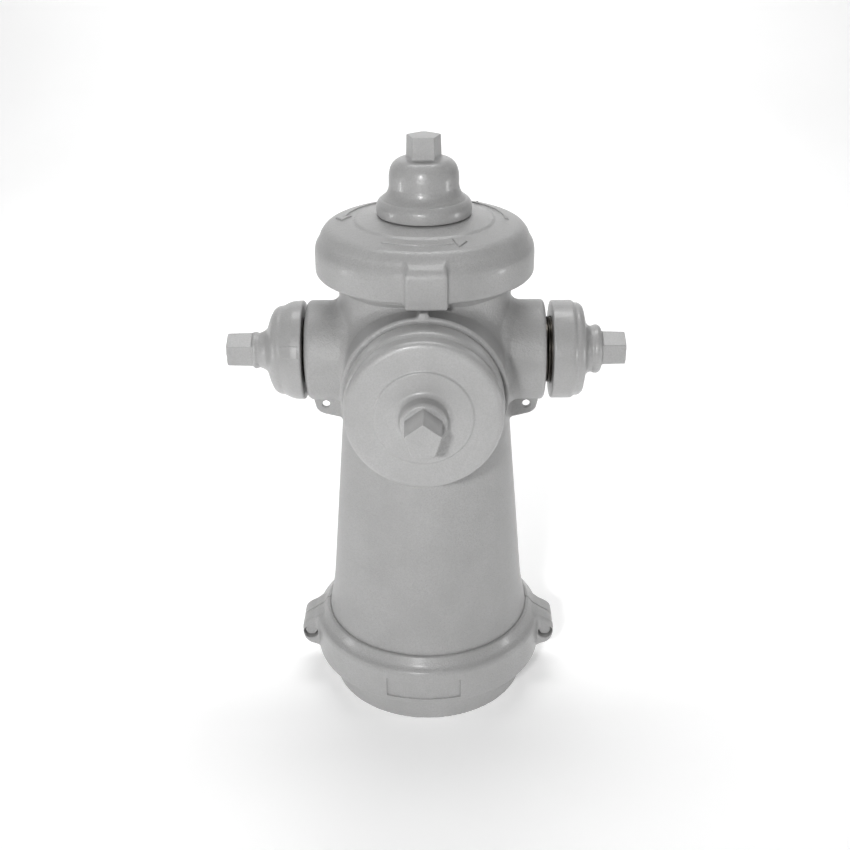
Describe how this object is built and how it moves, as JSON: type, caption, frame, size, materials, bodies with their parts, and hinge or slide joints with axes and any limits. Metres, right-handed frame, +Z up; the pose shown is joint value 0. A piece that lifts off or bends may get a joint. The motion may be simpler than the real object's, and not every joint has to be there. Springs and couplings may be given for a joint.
{
  "type": "fire hydrant",
  "caption": "Above-ground dry-barrel fire hydrant with a pumper outlet, side hose outlets, screw caps, a screwed bonnet, a turning operating nut and a ground clamp.",
  "frame": {"origin": "on the hydrant's vertical axis, at the flat bottom face of the lower barrel end", "axes": "+Z up along the barrel and the valve stem; the pumper outlet faces -Y and the hose outlets face -X and +X"},
  "size_m": [0.4694, 0.391, 0.705],
  "materials": {
    "paint": "satin grey enamel over cast iron",
    "bronze": "machined bronze, slightly tarnished",
    "steel": "machined",
    "bare_iron": "as cast",
    "rubber": "matt black"
  },
  "bodies": {
    "barrel_assembly": {"lower_barrel_end": "paint", "clamp_half_front": "paint", "clamp_half_rear": "paint", "clamp_bolts": "paint", "clamp_nuts": "paint", "barrel_gasket": "rubber", "nozzle_barrel": "paint", "hose_nozzle_left": "bronze", "hose_nozzle_right": "bronze", "pumper_nozzle": "bronze", "hose_nozzle_o_rings": "rubber", "pumper_nozzle_o_ring": "rubber", "nozzle_lock_screws": "steel", "bonnet": "paint", "oil_fill_plug": "steel", "hold_down_nut": "bronze", "hold_down_o_ring": "rubber", "thrust_washers": "bronze", "seal_plate": "bronze", "seal_plate_o_rings": "rubber", "stem_seal_o_rings": "rubber"},
    "operating_nut_body": {"operating_nut": "paint", "stem_nut": "bronze"},
    "valve_stem_body": {"upper_stem": "steel", "stem_sleeve": "bronze", "travel_stop": "bronze", "stem_coupling": "bare_iron", "coupling_pins": "steel", "coupling_cotters": "steel", "lower_stem": "steel"},
    "hose_gasket_left_body": {"hose_cap_left_gasket": "rubber"},
    "hose_cap_left_body": {"hose_cap_left": "paint"},
    "hose_gasket_right_body": {"hose_cap_right_gasket": "rubber"},
    "hose_cap_right_body": {"hose_cap_right": "paint"},
    "pumper_gasket_body": {"pumper_cap_gasket": "rubber"},
    "pumper_cap_body": {"pumper_cap": "paint"}
  },
  "joints": [
    {"name": "operating_nut_turn", "type": "hinge", "parent": "barrel_assembly", "child": "operating_nut_body", "pos_m": [0, 0, 0.64], "axis": [0, 0, 1], "range_deg": [0, 4320]},
    {"name": "valve_stem_travel", "type": "slide", "parent": "barrel_assembly", "child": "valve_stem_body", "axis": [0, 0, -1], "range_m": [0, 0.0508]},
    {"name": "hose_cap_left_travel", "type": "slide", "parent": "barrel_assembly", "child": "hose_gasket_left_body", "axis": [-1, 0, 0], "range_m": [0, 0.02102]},
    {"name": "hose_cap_left_turn", "type": "hinge", "parent": "hose_gasket_left_body", "child": "hose_cap_left_body", "pos_m": [-0.19, 0, 0.452], "axis": [-1, 0, 0], "range_deg": [0, 2232.2]},
    {"name": "hose_cap_right_travel", "type": "slide", "parent": "barrel_assembly", "child": "hose_gasket_right_body", "axis": [1, 0, 0], "range_m": [-0.00502, 0.01602]},
    {"name": "hose_cap_right_turn", "type": "hinge", "parent": "hose_gasket_right_body", "child": "hose_cap_right_body", "pos_m": [0.195, 0, 0.452], "axis": [1, 0, 0], "range_deg": [-531.4, 1700.7]},
    {"name": "pumper_cap_travel", "type": "slide", "parent": "barrel_assembly", "child": "pumper_gasket_body", "axis": [0, -1, 0], "range_m": [0, 0.02802]},
    {"name": "pumper_cap_turn", "type": "hinge", "parent": "pumper_gasket_body", "child": "pumper_cap_body", "pos_m": [0, -0.18, 0.452], "axis": [0, -1, 0], "range_deg": [0, 1587.4]}
  ],
  "couplings": [
    {"joint": "valve_stem_travel", "follows": "operating_nut_turn", "m_per_rad": 0.00067376},
    {"joint": "hose_cap_left_travel", "follows": "hose_cap_left_turn", "m_per_rad": 0.00053901},
    {"joint": "hose_cap_right_travel", "follows": "hose_cap_right_turn", "m_per_rad": 0.00053901},
    {"joint": "pumper_cap_travel", "follows": "pumper_cap_turn", "m_per_rad": 0.0010106}
  ]
}
